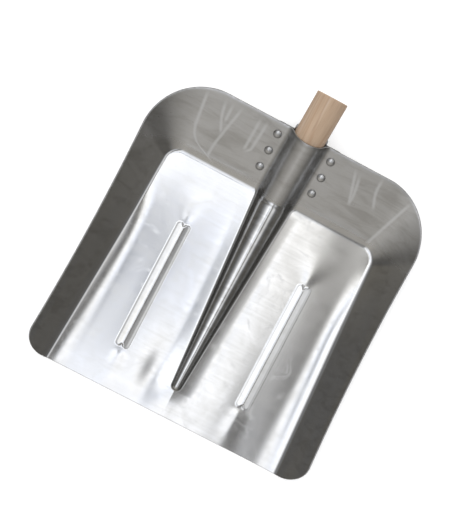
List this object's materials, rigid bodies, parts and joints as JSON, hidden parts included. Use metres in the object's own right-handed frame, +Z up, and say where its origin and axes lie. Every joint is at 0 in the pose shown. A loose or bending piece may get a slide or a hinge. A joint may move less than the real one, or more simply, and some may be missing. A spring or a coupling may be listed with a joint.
{
  "type": "snow shovel",
  "caption": "Scoop-type snow shovel head pressed from aluminium sheet, with a hump socket, stiffening beads and a short round wooden handle.",
  "frame": {"origin": "bottom centre of the bounding box, on the ground under the scoop", "axes": "+X across the scoop to the right as seen from the front edge looking towards the handle, +Y from the front edge towards the handle, +Z up"},
  "size_m": [0.372, 0.4262, 0.1008],
  "materials": {
    "blade_aluminium": "mill-finish pressed sheet, satin, with faint rolling lines and press marks",
    "rivet_aluminium": "satin, slightly duller than the sheet",
    "handle_wood": "plain turned softwood, dry and unvarnished",
    "screw_steel": "zinc-plated steel"
  },
  "bodies": {
    "root": {"blade": "blade_aluminium", "socket_back": "blade_aluminium", "rivet_left_lower": "rivet_aluminium", "rivet_left_middle": "rivet_aluminium", "rivet_left_upper": "rivet_aluminium", "rivet_right_lower": "rivet_aluminium", "rivet_right_middle": "rivet_aluminium", "rivet_right_upper": "rivet_aluminium", "handle": "handle_wood", "handle_screw": "screw_steel"}
  },
  "joints": []
}
